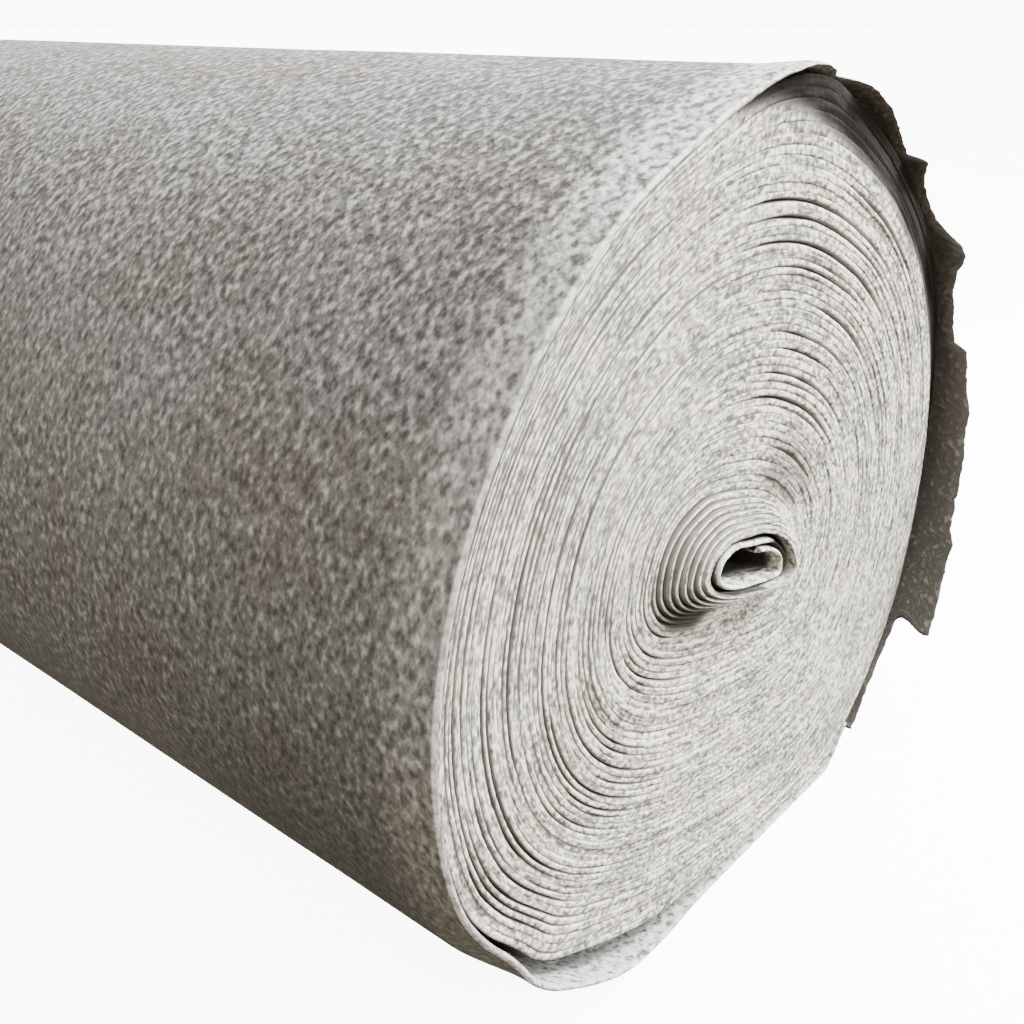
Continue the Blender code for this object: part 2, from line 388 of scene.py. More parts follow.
def makeSideFelt():
    # its marks are the distance from the edge, the inner side, and the torn stretch
    shop = Shop(bpy.data.materials.new("felt of the side"))
    weave = shop.attribute("weave")
    arc = shop.split(weave)[0]
    edge, inside, torn = shop.split(shop.attribute("marks"))
    curl = shop.noise(weave, sideFelt["curlScale"], 1.0, 0.5, 1)
    bent = shop.node(
        "ShaderNodeVectorMath", {"operation": "MULTIPLY_ADD"}, {0: curl, 1: sideFelt["curl"], 2: weave}
    )
    # painted shade low at the front, painted light on the top and where the inner side shows at the foot
    low = shop.step(arc, *sideFelt["low"])
    high = shop.step(arc, *sideFelt["high"]) * shop.step(arc, *sideFelt["highEnd"])
    foot = inside * (1.0 - torn) * shop.step(arc, *sideFelt["foot"])
    hanging = torn * inside
    strokes = shop.streaks(weave, *sideFelt["strokes"])
    crossing = shop.streaks(weave, *sideFelt["crossing"])
    specks = shop.noise(weave, sideFelt["speckScale"], 1.0)
    patch = shop.noise(weave, sideFelt["patchScale"], 3.0, 0.6)
    cloud = shop.noise(weave, sideFelt["cloudScale"], 3.0, 0.6)
    first, second, dark = (shop.fibres(bent, *thread) for thread in sideFelt["threads"])
    grain = shop.blend((strokes, crossing, specks, patch, cloud), sideFelt["grain"])
    grain = grain * (0.82 - low * 0.18 + high * 0.52 + foot * 0.40)
    # painted shade in a band behind the lip, darker towards the floor
    dusk = shop.step(edge, *sideFelt["dusk"]) * shop.step(edge, *sideFelt["duskEnd"])
    tone = grain + first * 0.26 + second * 0.20 - dark * 0.26 - 0.08 + high * 0.10
    tone = tone - dusk * (0.12 + low * 0.62)
    # the colour under the grain
    base = shop.mix(shop.step(cloud, 0.50, 0.72), sideFelt["mid"], sideFelt["blue"])
    base = shop.mix(shop.step(cloud, 0.50, 0.28), base, sideFelt["brown"])
    ragged = edge * (1.0 - inside * 0.5) + shop.blend((patch, cloud), sideFelt["ragged"])
    border = shop.step(ragged, *sideFelt["border"])
    # the border is paler on the top, as painted light
    border = border * (0.48 + shop.step(grain, -0.7, 0.7) * 0.27 + high * 0.25)
    base = shop.mix(border, base, shop.mix(high, sideFelt["pale"], sideFelt["palest"]))
    base = shop.mix(foot * shop.step(edge, *sideFelt["footBorder"]) * 0.9, base, sideFelt["palest"])
    # painted shade on the loose end's inner side, lighter above and darker below, with fewer light flecks
    under = shop.mix(shop.step(arc, *sideFelt["underFall"]), sideFelt["underTop"], sideFelt["under"])
    base = shop.mix(hanging * 0.9, base, under)
    # the grain's dark and light parts
    deep = shop.mix(border, sideFelt["dark"], sideFelt["paleDark"])
    shade = shop.mix(shop.step(tone, 0.25, -1.6), base, deep)
    lit = shop.step(tone, -0.10, 1.9) * (1.0 - hanging * 0.8)
    shade = shop.mix(lit, shade, shop.mix(border, sideFelt["light"], sideFelt["paleLight"]))
    # the pale rim of the lip, and painted shade just behind it on the inner side
    rim = shop.step(edge + torn * sideFelt["tornRim"], *sideFelt["rimWidth"])
    rim = rim * (0.40 + shop.step(tone, -1.0, 0.7) * 0.60)
    shade = shop.mix(rim * (1.0 - torn * 0.35) * (1.0 - inside * 0.85), shade, sideFelt["rim"])
    covered = shop.step(edge, *sideFelt["covered"]) * inside * (1.0 - torn)
    covered = covered * shop.step(arc, *sideFelt["coveredFrom"])
    shade = shop.mix(covered * 0.9, shade, sideFelt["under"])
    return shop.felt(shade, tone, sideFelt)


faceFelt = {
    "dark": (0.150, 0.145, 0.127),
    "mid": (0.405, 0.392, 0.342),
    "light": (0.93, 0.912, 0.845),
    "warm": (0.450, 0.412, 0.332),
    # painted shade in the gaps between the turns, on the skirt behind them, in the far end's grooves and
    # deep in the open middle
    "gap": (0.016, 0.015, 0.013),
    # painted deep shade, under the loose end, below the nose and over the curl
    "paintedShade": (0.0065, 0.0052, 0.0044),
    # patterns: angle, length, width, offset, detail
    "specks": (0, 0.0040, 0.0029, 0.0, 1.2),
    "threads": (3, 0.0100, 0.0030, 0.4, 1.2),
    "bands": (0, 0.0600, 0.0040, 9.0, 2.0),
    "cloudScale": 26.0,
    "grain": (6.6, 4.4, 3.4, 1.6),   # of the specks, threads, bands and clouds
    "fray": (1.2, 0.8),              # of the gaps' edges, by specks and threads
    "opened": (0.30, 0.80),          # from which mark on a gap is dark
    "bump": 0.00010, "roughness": 0.95, "gloss": 0.04, "sheen": 0.0, "sheenRoughness": 0.5,
}


def makeFaceFelt():
    # its marks are how dark the gap is painted as shade, how bright the edge beside it is painted as
    # highlight, and how deep the painted shade lies
    shop = Shop(bpy.data.materials.new("cut edges of the turns"))
    weave = shop.attribute("weave")
    gap, bright, dull = shop.split(shop.attribute("marks"))
    specks = shop.streaks(weave, *faceFelt["specks"])
    threads = shop.streaks(weave, *faceFelt["threads"])
    bands = shop.streaks(weave, *faceFelt["bands"])
    place = shop.node("ShaderNodeTexCoord", output="Object")
    cloud = shop.noise(place, faceFelt["cloudScale"], 2.0, 0.6)
    tone = shop.blend((specks, threads, bands, cloud), faceFelt["grain"]) + bright * 1.3
    opened = shop.step(gap + shop.blend((specks, threads), faceFelt["fray"]), *faceFelt["opened"])
    base = shop.mix(shop.step(cloud, 0.42, 0.70), faceFelt["mid"], faceFelt["warm"])
    shade = shop.mix(shop.step(tone, 0.05, -1.7), base, faceFelt["dark"])
    shade = shop.mix(shop.step(tone, -0.30, 1.3), shade, faceFelt["light"])
    shade = shop.mix(opened * (0.30 + gap * 0.70), shade, faceFelt["gap"])
    # in the painted shade under the loose end, below the nose and over the curl only soft lines along the
    # turns show
    unshaded = 1.0 - dull
    lines = shop.step(bands, 0.44, 0.66) * 0.034
    shade = shop.mix(shop.step(dull, 0.12, 0.60) * 0.90, shade, faceFelt["mid"])
    shade = shop.mix((1.0 - unshaded * unshaded) * (0.996 - lines), shade, faceFelt["paintedShade"])
    return shop.felt(shade, tone - gap * 0.6, faceFelt)


# How the turns run between the open middle and the outside
spiral = {
    "ovalAngle": 275, "ovalTwist": 25,   # where they are widest, and how that turns on the way out
    "coreShare": 0.12, "drawnInFade": (0.62, 0.16),
    "roundedReach": 24, "roundedStep": 6,
    "roundedFade": (1.0, 0.72),          # from the outside in, they lose the outline's corners
    "footFront": 0.002,
    "coreRadius": 0.035,                 # of the first turn, for the length of cloth
}
# How far the turns near the middle are drawn in towards it: angle, share
drawnInRows = (
    (140, 0.045), (180, 0.054), (210, 0.054), (230, 0.044), (245, 0.025), (258, 0.008),
    (268, 0.000), (290, -0.003), (310, 0.002), (330, 0.012), (345, 0.020), (365, 0.030),
    (390, 0.040), (420, 0.050), (450, 0.045), (500, 0.045),
)
# How much more oval the turns are than an even spread between middle and outside: share, amount
ovalRows = (
    (0.0, 0.0), (0.1, 0.012), (0.25, 0.022), (0.4, 0.032), (0.6, 0.043), (0.8, 0.050),
    (0.88, 0.050), (0.94, 0.027), (1.0, 0.0),
)
roundings = {}


def turnCount(turn, angle):
    return turn + (angle - roll["outerFrom"]) / 360


def turnShare(turn, angle):
    # share of the way out at which a turn starts, with its ovalness added
    share = limit(turnCount(turn, angle) / roll["turns"])
    lean = compass(2 * (angle - spiral["ovalAngle"] - spiral["ovalTwist"] * share))[0]
    near = min(share / spiral["coreShare"], 1.0) * ramp(share, *spiral["drawnInFade"])
    return share + curve(ovalRows, share) * lean - curve(drawnInRows, angle) * near


def rounding(angle):
    # how far the turns further in run inside the outline's corners
    if angle not in roundings:
        reach = spiral["roundedReach"]
        radii = []
        for step in range(-reach, reach + 1, spiral["roundedStep"]):
            near = angle + step
            back = (near < roll["outerFrom"]) - (near > roll["outerTo"])
            radii.append(outline(near + 360 * back, 0.0) - turnPitch * back)
        roundings[angle] = sum(radii) / len(radii) - outline(angle, 0.0)
    return roundings[angle]


def turnPoint(share, angle, x):
    full = underTurn(angle, x) + turnPitch * (roll["outerTo"] - angle) / 360
    full += rounding(angle) * ramp(share, *spiral["roundedFade"])
    foot = max(curve(footRows, angle), 0.0) * ramp(x, -roll["footLength"], spiral["footFront"])
    full -= foot * share * share
    return oval(1.0, angle, x).lerp(around(full, angle, x), share)


def woundLength(turns):
    # length of cloth in so many turns, counted from the middle
    inner, outer = spiral["coreRadius"], roll["radius"]
    return 2 * math.pi * turns * (inner + (outer - inner) * turns / roll["turns"] / 2)


# The cut edges that the near end shows
face = {
    "outerColumns": 640,   # points once round, in the outer turns
    "innerColumns": 320,
    "rows": 5,             # points across one turn
    "split": 25,           # the turn between the two pieces
    "gapDepth": 0.0001, "openDepth": 0.0040,
    "gapWidth": 0.00020, "openWidth": 0.00180,
    "widestShare": 0.3,    # of a turn's edge that a gap takes at most, at either side
    "bevelShare": 0.22,
    "jag": 0.25,           # how uneven a gap's width is
    "coreReach": 0.03,     # the open middle's mean radius
    "drift": 0.0011, "fineDrift": 0.0008,
    "softEdge": 0.00010, "openEdge": 0.0004, "uneven": 0.00014,
    "hollowFade": (0.89, 0.98),
    "joined": 0.0025,      # how far the outermost turn leans out to meet the lip
    "joinedTurns": (1.2, 0.5), "joinedAngles": (350, 330),
    "behind": (0.0, -0.02, -0.06),   # the levels of the skirt behind the last turn
    "skirtShade": 350,
}
# Where the gaps between the turns show
gaps = {
    "chance": (-0.12, 0.34), "fine": 0.30, "arcFine": 0.4,
    "fadeOut": 6, "fadeIn": 14,      # at the ends of the opened arcs
}
# The stepped turns round the open middle, that crept out of the face
nose = {
    "height": 0.014, "top": 0.022, "foot": 0.145,
    "firstTurns": (0.9, 1.7), "lastTurns": (8.9, 8.0),
    "sideAngle": 275, "side": (0.20, 0.80),      # its gaps are widest at this side
    "belowAngle": 205, "below": (0.60, 0.92),
    "plainGap": 0.06, "belowGap": 0.28, "sideGap": 1.0, "fineGap": 0.3, "widestGap": 1.1,
    "evenness": 0.6,
    # painted shade on the nose's steps at the side away from the light
    "darkAngle": 268, "dark": (0.3, 0.8), "darkTurns": (9, 7.5),
}
# How plainly the gaps between closed turns show: angle, amount
plainRows = (
    (140, 0.06), (200, 0.20), (232, 0.66), (290, 0.72), (320, 0.24), (350, 0.10), (380, 0.12),
    (412, 0.16), (440, 0.08), (500, 0.05),
)
# From which share of the way out on the turns lie in the shade of the loose end: angle, share
shadeRows = (
    (336, 1.020), (350, 0.928), (360, 0.890), (368, 0.853), (380, 0.828), (396, 0.823),
    (403, 0.815), (411, 0.841), (418, 0.850), (430, 0.865), (441, 0.893), (455, 0.915),
    (470, 0.960), (500, 1.020),
)
shadeEdge = (0.006, 0.080)   # over which share it fades in from there
# The outer turns that lie behind the face at the top of the back: angle, depth
hollowRows = (
    (140, 0.0), (336, 0.0), (350, 0.0010), (362, 0.0020), (370, 0.0045), (377, 0.0085),
    (386, 0.0105), (394, 0.0108), (402, 0.0098), (410, 0.0072), (418, 0.0045), (448, 0.0042),
    (462, 0.0025), (475, 0.0010), (500, 0.0),
)
# Turns that have parted: turns in from the outside, from angle, to angle, how open
partedArcs = (
    (1.0, 238, 345, 0.9), (4.6, 262, 300, 0.7), (8.5, 256, 300, 0.6),
    (11.6, 232, 284, 1.0), (10.7, 240, 268, 0.6), (12.5, 240, 262, 0.5),
    (7.8, 282, 336, 0.75), (10.6, 284, 330, 0.8), (11.9, 286, 334, 0.65),
    (15.8, 284, 340, 0.6), (20.0, 288, 345, 0.6), (5.6, 236, 266, 0.8), (4.6, 244, 270, 0.5),
    (9.4, 376, 418, 1.0), (12.6, 350, 404, 0.9), (14.8, 352, 412, 0.9), (18.2, 354, 410, 1.0),
    (19.9, 368, 412, 0.6), (21.0, 360, 402, 0.7), (25.2, 378, 418, 0.9), (28.6, 368, 410, 0.7),
    (30.8, 368, 402, 0.6), (33.8, 366, 424, 0.8), (36.6, 358, 424, 0.9), (35.4, 372, 404, 0.5),
    (38.4, 386, 414, 0.6), (43.2, 384, 428, 0.7), (30.4, 226, 286, 0.7), (24.2, 220, 262, 0.6),
    (23.4, 236, 300, 0.7), (19.0, 228, 262, 0.6), (18.0, 232, 266, 0.5), (26.6, 300, 334, 0.5),
    (40.5, 238, 292, 0.5),
)


def parted(turn, angle):
    # how far the gap at the start of this turn stands open
    count = turnCount(turn, angle)
    chance = ringNoise(angle, 1.1, (-5, 3), 0.83 * count)
    fine = ringNoise(angle, 7, (0, 0), 1.9 * count)
    amount = curve(plainRows, angle) * ramp(chance + gaps["fine"] * fine, *gaps["chance"])
    fadeOut, fadeIn = gaps["fadeOut"], gaps["fadeIn"]
    for inward, first, last, strength in partedArcs:
        off = abs(roll["turns"] - inward - turn)
        if off < 0.5 and first - fadeOut < angle < last + fadeOut:
            fade = ramp(angle, first - fadeOut, first + fadeIn) * ramp(angle, last + fadeOut, last - fadeIn)
            amount = max(amount, strength * fade * (1 + gaps["arcFine"] * fine))
    onNose = ramp(count, *nose["lastTurns"]) * ramp(count, *nose["firstTurns"])
    if onNose:
        side = ramp(compass(angle - nose["sideAngle"])[0], *nose["side"])
        below = ramp(compass(angle - nose["belowAngle"])[0], *nose["below"])
        opened = nose["plainGap"] + nose["belowGap"] * below + nose["sideGap"] * side
        amount = max(amount, onNose * opened * (1 + nose["fineGap"] * fine))
        return min(amount, nose["widestGap"])
    return limit(amount)


def turnLevel(turn, angle):
    # how far a turn's cut edge stands out of the face
    share = turn / roll["turns"]
    up = limit((nose["foot"] - share) / (nose["foot"] - nose["top"]))
    drift = face["drift"] * ringNoise(angle, 1.1, (0, 0), 0.30 * turn)
    drift += face["fineDrift"] * ringNoise(angle, 1.9, (9, 0), 0.95 * turn)
    drift *= 1 - up * nose["evenness"]
    hollow = curve(hollowRows, angle) * ramp(share, *face["hollowFade"])
    first, last = (1 - turns / roll["turns"] for turns in face["joinedTurns"])
    joined = ramp(share, first, last) * ramp(angle, *face["joinedAngles"])
    return nose["height"] * up + drift - hollow + face["joined"] * joined


def edgeMarks(row, wide, after, onNose):
    # how dark and how bright the rows across a turn's edge are painted, from gap to gap: painted shade in
    # and beside the gaps and on the nose's shaded side, painted highlight on the edges beside open gaps
    dark = (
        0.34 + 0.9 * wide, 0.14 + 0.42 * wide, 0.62 * onNose * wide,
        0.22 * onNose * wide, 0.14 + 0.34 * after,
    )
    bright = (
        0.0, 0.2 * wide * (1 - onNose), 0.6 * wide * (1 - onNose),
        0.3 * onNose + 0.6 * after, 0.2 * after,
    )
    return min(dark[row], 1.0), bright[row]


def shadeMark(share, angle, count):
    # painted shade below the nose and, at the top of the back, under the loose end, with a darker patch on
    # the inner turns there
    dull = 0.66 * ramp(angle, 210, 226) * ramp(angle, 262, 238)
    dull *= ramp(count, 10.5, 8) * ramp(count, 3, 6)
    if angle > roll["looseFrom"]:
        bound = straight(shadeRows, angle)
        darkPatch = 0.30 * ramp(angle, 372, 396) * ramp(angle, 444, 420)
        darkPatch *= ramp(count, 6.5, 9.5) * ramp(count, 21, 13)
        dull = max(ramp(share, bound + shadeEdge[0], bound + shadeEdge[1]), darkPatch)
    return dull


def edgePoint(turn, angle, row):
    # a point of a turn's cut edge. Row 0 lies in the gap at its start, rows 1 to 4 cross it
    wide, after = parted(turn, angle), parted(turn + 1, angle)
    first, last = turnShare(turn, angle), turnShare(turn + 1, angle)
    pitch = max(last - first, 1e-5)
    span = pitch * (underTurn(angle, 0.0) - face["coreReach"])
    jag = face["jag"] * (1 + noise.noise(Vector((angle * 1.4, turn * 3.1, 0.0))))
    before = (face["gapWidth"] + face["openWidth"] * wide) * (1 + jag) / 2 / span
    behind = (face["gapWidth"] + face["openWidth"] * after) / 2 / span
    start, end = min(before, face["widestShare"]), 1 - min(behind, face["widestShare"])
    bevel = face["bevelShare"] * (end - start)
    part = (0.0, start, start + bevel, end - bevel, end)[row]
    share = first + pitch * part
    middle = turnCount(turn, angle) + 0.5
    level = turnLevel(middle, angle)
    if row == 0:
        depth = face["gapDepth"] + face["openDepth"] * wide
        level = min(level, turnLevel(middle - 1, angle)) - depth
    elif row in (1, 4):
        level -= face["softEdge"] + face["openEdge"] * (wide if row == 1 else after)
    level += face["uneven"] * noise.noise(Vector((angle * 0.6, turn * 5.3, row * 1.9)))
    count = middle - 0.5 + part
    onNose = ramp(count, *nose["darkTurns"]) * ramp(compass(angle - nose["darkAngle"])[0], *nose["dark"])
    marked = (*edgeMarks(row, wide, after, onNose), shadeMark(share, angle, count))
    return share, level, marked, count


def makeNearTurns(name, firstTurn, lastTurn, columns, material, skirt):
    first, last = roll["outerFrom"], roll["outerTo"]
    bands = (lastTurn - firstTurn) * face["rows"]

    def place(column, row):
        angle = first + (last - first) * column / columns
        turn = firstTurn + min(row, bands) // face["rows"]
        share, level, marked, count = edgePoint(turn, angle, min(row, bands) % face["rows"])
        if row > bands:
            level = face["behind"][row - bands]
            # the skirt is painted dark as shade, and deeper under the loose end
            marked = (1.0, 0.0, ramp(angle, roll["looseFrom"], face["skirtShade"]))
        point = turnPoint(min(share, 1.0), angle, level)
        return point, (woundLength(turnCount(turn, angle)), count * turnPitch), marked

    return bentGrid(name, columns, bands + skirt, place, material)


# The plain spiral of the far end
farFace = {
    "columns": 240,
    "parts": (0.0, 0.16, 0.84),      # the rows across one turn
    "level": 0.0015, "drift": 0.0012, "groove": 0.0012,
    "skirt": 0.06, "skirtRows": 2,
    # painted shade in the grooves between the turns, and a lighter tone on the turns between them
    "grooveMarks": (0.5, 0.0, 0.0), "edgeMarks": (0.0, 0.4, 0.0),
}


def makeFarTurns(material):
    first, last = roll["outerFrom"], roll["outerTo"]
    columns, rows = farFace["columns"], len(farFace["parts"])
    bands = roll["turns"] * rows

    def place(column, row):
        angle = first + (last - first) * column / columns
        turn = min(row, bands) // rows - 1
        part = farFace["parts"][min(row, bands) % rows]
        here = turnShare(turn, angle)
        share = here + part * (turnShare(turn + 1, angle) - here)
        middle = turnCount(turn, angle) + 0.5
        inGroove = row % rows == 0
        level = farFace["level"] + farFace["drift"] * ringNoise(angle, 1.3, (4, 0), 0.4 * middle)
        level += farFace["groove"] * inGroove
        if row > bands:
            level = farFace["skirt"] * (row - bands)
        point = turnPoint(min(share, 1.0), angle, level - roll["width"])
        marked = farFace["grooveMarks"] if inGroove else farFace["edgeMarks"]
        return point, (woundLength(middle), (middle - 0.5 + part) * turnPitch), marked

    return bentGrid("farTurns", columns, bands + farFace["skirtRows"], place, material)


# The lining of the open middle, from end to end
channelLining = {
    "columns": 96, "stations": 24,
    "crowding": 1.7,                 # the stations lie closer towards the near end
    "farLevel": 0.0015,
    "wave": 0.012, "waveFrom": 0.1,
    "shaded": (0.001, 0.008),
    "weaveScale": 0.0006,
}


def makeChannel(material):
    columns, stations = channelLining["columns"], channelLining["stations"]
    front, back = nose["height"], channelLining["farLevel"] - roll["width"]

    def place(column, row):
        angle = 360 * column / columns
        x = front - (front - back) * (row / stations) ** channelLining["crowding"]
        wave = channelLining["wave"] * noise.noise(Vector((x * 9, compass(angle)[0] * 2, 4)))
        point = oval(1.0 + wave * ramp(-x, 0.0, channelLining["waveFrom"]), angle, x)
        shaded = ramp(front - x, *channelLining["shaded"])
        return point, (angle * channelLining["weaveScale"], x), (shaded, 0.0, 0.0)

    return bentGrid("coreChannel", columns, stations, place, material)


def arcLengths(angles, pointAt):
    # how far along the cloth each angle lies
    arcs, length, before = {}, 0.0, None
    for angle in angles:
        point = pointAt(angle)
        length += (point - before).length if before else 0.0
        arcs[angle] = length
        before = point
    return arcs, length


def sheetRow(row, count):
    # where a row of a closed sheet lies: its station, its tip (1 near, -1 far) and its side
    rows = 2 * count + 2
    row = row % rows
    outside = row < count
    if row == count:
        return count - 1, 1, outside
    if row == rows - 1:
        return 0, -1, outside
    return (row if outside else 2 * count - row), 0, outside


# The outer turn: one sheet once round the roll, with the torn selvedge of its loose end
outerTurn = {
    "lipColumns": 262, "tornColumns": 458,
    "farStations": 18, "midStations": 10, "nearStations": 24,
    "midFrom": -0.16, "nearFrom": -0.04, "crowding": 1.6, "edgeFollow": 0.8,
    "earArc": 9, "earLength": 0.06, "earLift": 0.007,   # the dog-eared corner
    "tornFade": (345, 365),
    "tornThickness": 0.0009, "taper": (-0.001, 0.006),
    "tipRound": 0.45, "roundLength": 0.0011, "tip": 0.0004,
    "wave": 0.0004, "tornWave": 0.0006, "tornWaveLength": 0.05, "waveAbove": (0.9, 0.7),
    "cutFrom": (470, 480.5), "cutTo": (486, 481.5),     # the strip's lower end is torn off aslant
    "cutOut": 3.4, "cutBack": 2.0, "cutOutFrom": (0.005, 0.029),
    "fuzz": 0.00035, "jag": 0.0009, "fineJag": 0.0006,
    "furthest": 0.0296,
}
# How far the lip stands past the face: angle, reach
lipRows = (
    (140, 0.0020), (165, 0.0012), (182, 0.0010), (194, 0.0016), (205, 0.0050), (213, 0.0075),
    (221, 0.0070), (232, 0.0035), (248, 0.0015), (336, 0.0012),
)
# The torn selvedge past the face: angle, reach
tornRows = (
    (336, 0.0012), (344, 0.0015), (350, 0.0025), (357, 0.0030), (361, 0.0010), (366, -0.0020),
    (370, -0.0060), (374, -0.0135), (376, -0.0075), (378, -0.0025), (381, -0.0021),
    (386, -0.0035), (390, -0.0059), (394, -0.0083), (397.5, -0.0096), (398.8, 0.0015),
    (401, -0.0008), (403, -0.0046), (406, -0.0054), (409, -0.0046), (412, -0.0010),
    (414, 0.0055), (416, 0.0115), (417.5, 0.0127), (419, 0.0108), (421, 0.0062),
    (425, 0.0038), (430, 0.0040), (433, 0.0052), (434.4, 0.0135), (441, 0.0158),
    (444.6, 0.0195), (446.5, 0.0183), (452, 0.0204), (460, 0.0210), (464, 0.0225),
    (466, 0.0265), (468, 0.0250), (475, 0.0275), (480, 0.0290), (482, 0.0040),
    (488, 0.0025), (500, 0.0030),
)


def outerEdge(angle):
    fuzz = outerTurn["fuzz"] * rough(angle, 0.0, 0.004, 3.0)
    if angle <= roll["looseFrom"]:
        return curve(lipRows, angle) + fuzz
    torn = ramp(angle, *outerTurn["tornFade"])
    jag = outerTurn["jag"] * rough(angle, 0.0, 0.006, 7.0)
    jag += outerTurn["fineJag"] * rough(angle, 0.0, 0.0023, 11.0)
    return min(straight(tornRows, angle) + torn * jag + (1 - torn) * fuzz, outerTurn["furthest"])


def outerStations():
    # places along the roll, and how far each follows the uneven edge
    far, mid, near = (outerTurn[name + "Stations"] for name in ("far", "mid", "near"))
    width, midFrom, nearFrom = roll["width"], outerTurn["midFrom"], outerTurn["nearFrom"]
    stations = [(-width + (width + midFrom) * i / far, 0.0) for i in range(far)]
    stations += [(midFrom + (nearFrom - midFrom) * i / mid, 0.0) for i in range(mid)]
    for i in range(near + 1):
        x = nearFrom * (1 - i / near) ** outerTurn["crowding"]
        stations.append((x, ramp(i / near, 0.0, outerTurn["edgeFollow"])))
    return stations


def outerAngles():
    first, middle, last = roll["outerFrom"], roll["looseFrom"], roll["outerTo"]
    lip, torn = outerTurn["lipColumns"], outerTurn["tornColumns"]
    angles = [first + (middle - first) * i / lip for i in range(lip)]
    angles += [middle + (last - middle) * i / torn for i in range(torn + 1)]
    return [first] + angles + [last]  # the sheet's two ends are closed


def makeOuterTurn(material):
    angles, stations = outerAngles(), outerStations()
    count = len(stations)
    edges = {angle: outerEdge(angle) for angle in angles}
    arcs, length = arcLengths(angles, lambda angle: around(outline(angle, 0.0), angle, 0.0))
    print("outer turn, length once round", round(length, 4))

    def thickness(distance, torn):
        cloth, thin = roll["cloth"], outerTurn["tornThickness"]
        thin = thin + (cloth - thin) * ramp(distance, *outerTurn["taper"])
        tip = outerTurn["tipRound"]
        rounded = tip + (1 - tip) * ramp(distance, 0.0, outerTurn["roundLength"])
        return (cloth + torn * (thin - cloth)) * rounded

    def place(column, row):
        angle = angles[column]
        level, tip, outside = sheetRow(row, count)
        x, follow = stations[level]
        x += edges[angle] * follow
        distance = edges[angle] - x
        torn = ramp(angle, *outerTurn["tornFade"])
        offset = thickness(distance, torn) / 2 * (1 if outside else -1)
        if tip or column in (0, len(angles) - 1):
            offset = 0.0
            x += tip * outerTurn["tip"]
        ear = ramp(angle, roll["outerTo"] - outerTurn["earArc"], roll["outerTo"])
        ear *= ramp(x, -outerTurn["earLength"], 0.0)
        loose = torn * ramp(x, -outerTurn["tornWaveLength"], 0.0)
        wave = outerTurn["wave"] * rough(angle, x, 0.05, 1.0)
        wave += outerTurn["tornWave"] * loose * rough(angle, x, 0.02, 5.0)
        wave *= ramp(-compass(angle)[0], *outerTurn["waveAbove"])
        cut = ramp(angle, *outerTurn["cutFrom"]) * ramp(angle, *outerTurn["cutTo"])
        slant = outerTurn["cutOut"] * ramp(x, *outerTurn["cutOutFrom"])
        slant -= outerTurn["cutBack"] * ramp(x, 0.0, outerTurn["cutOutFrom"][0])
        turned = angle + cut * slant
        radius = outline(turned, x) - roll["cloth"] / 2 + offset + outerTurn["earLift"] * ear + wave
        inside = 0.0 if outside and not tip else 1.0
        # the pattern runs on over the cut edge and along the inner side
        across = x + inside * (roll["cloth"] * (0.5 if tip else 1.0) + 2 * max(distance, 0.0))
        return around(radius, turned, x), (arcs[angle], across), (distance, inside, torn)

    return bentGrid("outerTurn", len(angles) - 1, 2 * count + 2, place, material), length


# The curled inner end
innerCurl = {
    "columns": 216, "reach": 0.0165,
    "farStations": (-1.5, -1.0, -0.6, -0.3, -0.15, -0.08, -0.04, -0.02, -0.01, 0.0),
    "farGap": 0.0005, "nearStations": 10, "crowding": 1.5,
    "edgeFrom": -0.04,                  # from here on the stations follow the edge
    "sunkSlope": 0.0012, "sunkAngles": (200, 370),
    "sunk": 0.0060,                     # how far the outer lap's edge lies behind the inner one's
    "outerLap": (378, 425),
    "fuzz": 0.0004, "tip": 0.0004,
    "thinTo": 0.62, "thinLength": 0.005, "tipRound": 0.6, "roundLength": 0.0007,
    "floorFrom": (120, 190), "floorTo": (310, 280),     # light falls on this side of the middle
    "outShade": (0.0006, 0.0045),
    "inShade": (0.0040, 0.0100), "floorShade": (0.0050, 0.0070), "inDark": 0.72,
    "lapDark": 0.66, "lapDeep": 0.3, "lapShade": (0.0005, 0.005),
    # painted highlight on the inner lap's rim
    "rim": 0.8, "rimWidth": 0.0016,
}
# How far out the curl lies: angle, share of the open middle
curlRows = (
    (6, 0.490), (30, 0.505), (56, 0.535), (84, 0.530), (110, 0.500), (132, 0.510), (152, 0.555),
    (178, 0.568), (202, 0.588), (222, 0.690), (244, 0.830), (270, 0.900), (300, 0.900),
    (330, 0.860), (360, 0.745), (390, 0.760), (420, 0.830), (450, 0.905), (475, 0.935),
    (500, 0.905), (525, 0.868), (548, 0.860), (566, 0.865),
)


def curlMarks(angle, distance, outside):
    # how bright and how shaded the curl is painted, at this distance behind its edge: painted highlight on
    # the inner lap's rim, painted shade further in and on the outer lap
    outerLap = ramp(angle, *innerCurl["outerLap"])
    floor = ramp(angle, *innerCurl["floorFrom"]) * ramp(angle, *innerCurl["floorTo"])
    if outside:
        shaded = ramp(distance, *innerCurl["outShade"])
    else:
        near, far = (
            plain + more * floor for plain, more in zip(innerCurl["inShade"], innerCurl["floorShade"])
        )
        shaded = innerCurl["inDark"] * ramp(distance, near, far)
    lap = innerCurl["lapDark"] + innerCurl["lapDeep"] * ramp(distance, *innerCurl["lapShade"])
    bright = innerCurl["rim"] * ramp(distance, innerCurl["rimWidth"], 0.0) * (1 - outerLap)
    return 0.0, bright, max(shaded, outerLap * lap)


